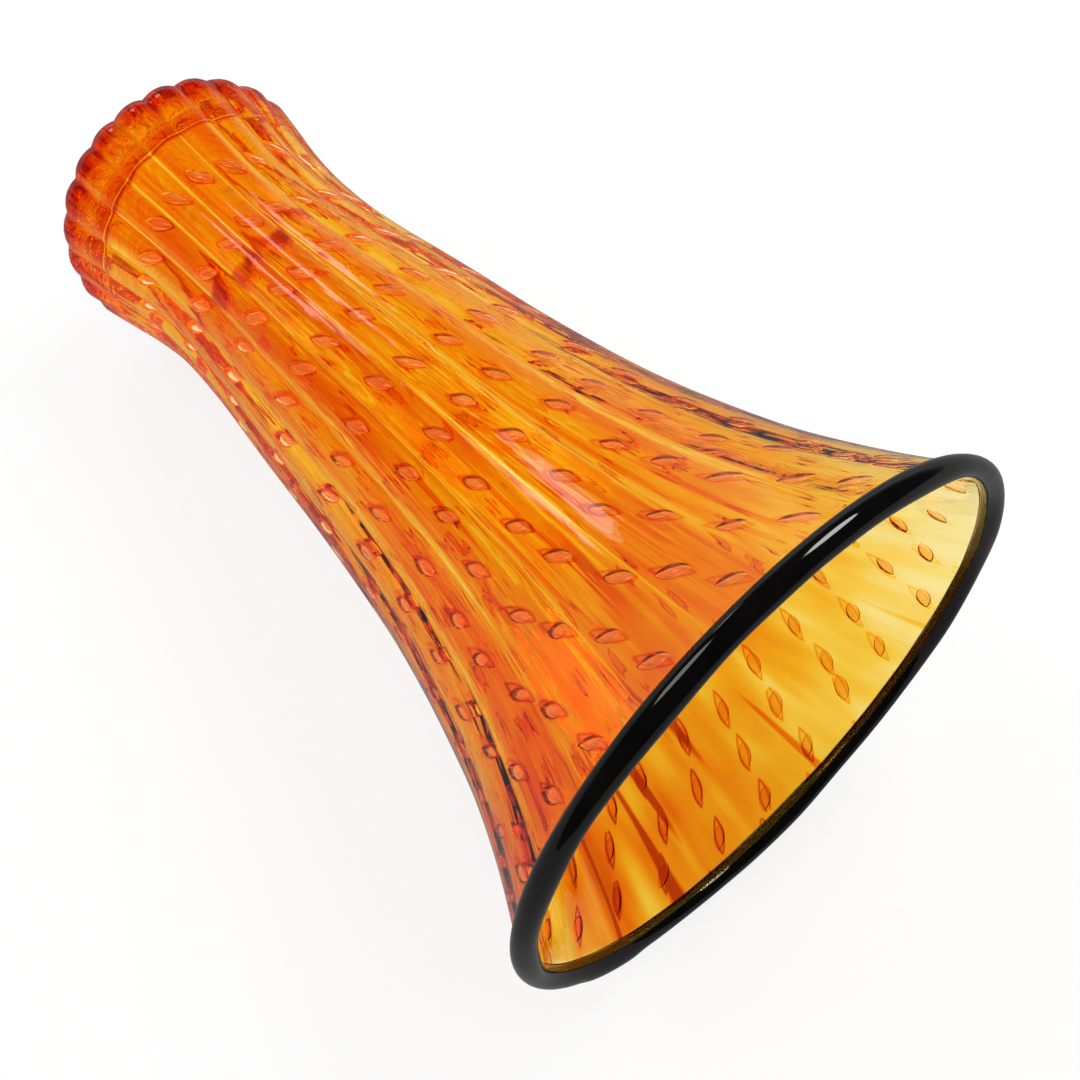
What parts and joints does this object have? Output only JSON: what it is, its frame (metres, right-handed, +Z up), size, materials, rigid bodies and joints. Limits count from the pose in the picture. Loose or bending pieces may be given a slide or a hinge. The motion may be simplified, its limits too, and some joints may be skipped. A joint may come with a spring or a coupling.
{
  "type": "art glass trumpet vase",
  "caption": "Tall trumpet vase of ribbed bubble glass with a flared mouth, a waisted body, a thick foot and an opaque lip wrap; stands on its foot and holds cut flowers in water.",
  "frame": {"origin": "centre of the ring that the foot stands on, on the table plane", "axes": "+Z up along the vase's axis from foot to mouth, +X through the crest of one rib, +Y by the right-hand rule"},
  "size_m": [0.1778, 0.1783, 0.3006],
  "materials": {
    "amber_casing_glass": "fire-polished transparent amber, ribbed outside",
    "amber_gather_glass": "fire-polished transparent amber, pitted with bubbles outside and smooth inside",
    "black_wrap_glass": "fire-polished opaque black"
  },
  "bodies": {
    "root": {"casing": "amber_casing_glass", "gather": "amber_gather_glass", "lip_wrap": "black_wrap_glass"}
  },
  "joints": []
}
